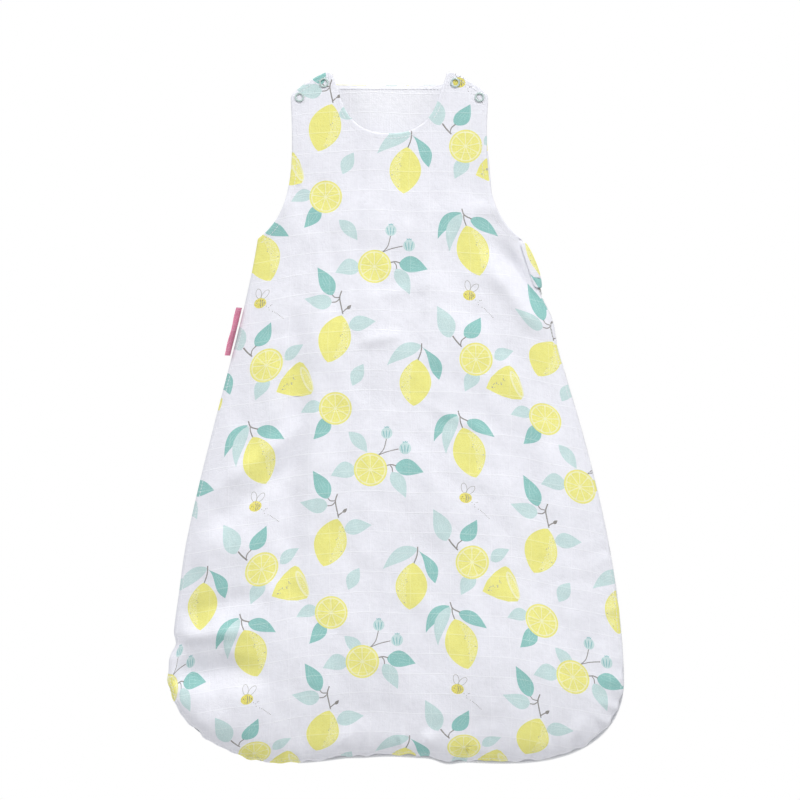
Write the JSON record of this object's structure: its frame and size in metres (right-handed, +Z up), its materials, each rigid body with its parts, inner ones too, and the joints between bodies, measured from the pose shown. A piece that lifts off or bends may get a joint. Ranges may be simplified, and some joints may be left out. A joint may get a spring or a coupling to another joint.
{
  "type": "baby sleeping bag",
  "caption": "Sleeveless quilted baby sleeping bag with shoulder poppers, a side zip round the hem and a hinged front leaf, hanging closed.",
  "frame": {"origin": "midway between the shoulders at the height of their top, where a hanger holds the bag", "axes": "+Z up, front towards -Y, +X towards the zipped side"},
  "size_m": [0.4581, 0.0626, 0.6948],
  "materials": {
    "muslin": "printed cotton muslin, matt",
    "wadding": "polyester wadding",
    "lining": "plain cotton, matt",
    "tape": "woven zip tape",
    "patch": "non-woven interfacing",
    "label": "woven satin",
    "nylon": "moulded, semi gloss",
    "popper": "moulded, semi gloss"
  },
  "bodies": {
    "root": {"side_shell": "muslin", "side_wadding": "wadding", "side_lining": "lining", "back_shell": "muslin", "back_wadding": "wadding", "back_lining": "lining", "side_seam": "lining", "zip_tape_back": "tape", "zip_coil_back": "nylon", "zip_shield": "lining", "zip_top_stop": "nylon", "zip_bottom_stop": "nylon", "back_strap_left": "muslin", "back_strap_lining_left": "lining", "strap_patch_left": "patch", "back_strap_right": "muslin", "back_strap_lining_right": "lining", "strap_patch_right": "patch", "popper_stud_1": "popper", "popper_ring_1": "popper", "popper_stud_2": "popper", "popper_ring_2": "popper", "popper_stud_3": "popper", "popper_ring_3": "popper", "popper_stud_4": "popper", "popper_ring_4": "popper"},
    "front_leaf": {"front_shell": "muslin", "front_wadding": "wadding", "front_lining": "lining", "zip_tape_front": "tape", "zip_coil_front": "nylon"},
    "tab_left": {"front_tab_left": "muslin", "tab_patch_left": "patch", "front_tab_lining_left": "lining", "popper_cap_1": "popper", "popper_cap_2": "popper", "popper_socket_1": "popper", "popper_socket_2": "popper"},
    "tab_right": {"front_tab_right": "muslin", "tab_patch_right": "patch", "front_tab_lining_right": "lining", "popper_cap_3": "popper", "popper_cap_4": "popper", "popper_socket_3": "popper", "popper_socket_4": "popper"},
    "slider": {"zip_slider": "nylon"},
    "puller": {"zip_puller": "nylon"},
    "guard": {"zip_guard": "muslin"},
    "label": {"side_label": "label"}
  },
  "joints": [
    {"name": "leaf_hinge", "type": "hinge", "parent": "root", "child": "front_leaf", "pos_m": [-0.12, -0.015, -0.158], "axis": [0, -0.0542, -0.9985], "range_deg": [0, 120]},
    {"name": "tab_left_fold", "type": "hinge", "parent": "front_leaf", "child": "tab_left", "pos_m": [-0.069, -0.0143, -0.0477], "axis": [1, 0, 0], "range_deg": [0, 150]},
    {"name": "tab_right_fold", "type": "hinge", "parent": "front_leaf", "child": "tab_right", "pos_m": [0.069, -0.0143, -0.0477], "axis": [1, 0, 0], "range_deg": [0, 150]},
    {"name": "zip_slide", "type": "slide", "parent": "root", "child": "slider", "axis": [0.2906, 0, -0.9568], "range_m": [0, 0.2]},
    {"name": "puller_flip", "type": "hinge", "parent": "slider", "child": "puller", "pos_m": [0.1441, 0.0052, -0.20003], "axis": [0.9568, 0, 0.2906], "range_deg": [0, 150]},
    {"name": "guard_lift", "type": "hinge", "parent": "root", "child": "guard", "pos_m": [0.1582, 0.0063, -0.217], "axis": [-0.37, 0, 0.929], "range_deg": [0, 110]},
    {"name": "label_flex", "type": "hinge", "parent": "root", "child": "label", "pos_m": [-0.1488, -0.0005, -0.237], "axis": [0.241, 0, 0.9705], "range_deg": [-120, 10], "stiffness_Nm_per_rad": 0.0005}
  ]
}
